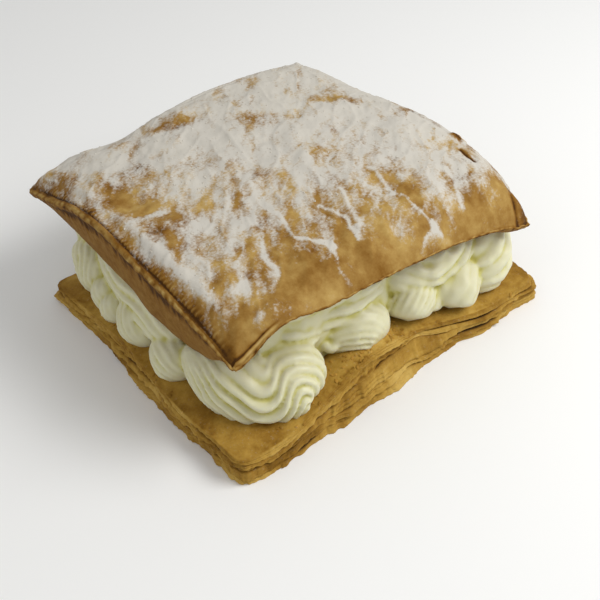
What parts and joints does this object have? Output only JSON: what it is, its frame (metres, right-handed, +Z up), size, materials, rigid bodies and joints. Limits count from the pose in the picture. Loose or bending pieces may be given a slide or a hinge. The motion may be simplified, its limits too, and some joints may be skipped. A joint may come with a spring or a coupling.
{
  "type": "mille-feuille",
  "caption": "Square family-size mille-feuille: puff pastry base, piped whipped cream border and a puffed, sugar-dusted pastry lid.",
  "frame": {"origin": "middle of the footprint on the surface the cake stands on", "axes": "+Z up, +X along the front side to the right, +Y away from the front side"},
  "size_m": [0.2072, 0.1968, 0.0884],
  "materials": {
    "base_crust": "dry, flaky golden puff pastry with open layer edges",
    "cream": "smooth ivory whipped cream with a soft wet sheen",
    "lid_crust": "golden baked puff pastry, smooth to wrinkled, dusted with icing sugar"
  },
  "bodies": {
    "root": {"base_pastry": "base_crust", "whipped_cream": "cream", "lid_pastry": "lid_crust"}
  },
  "joints": []
}
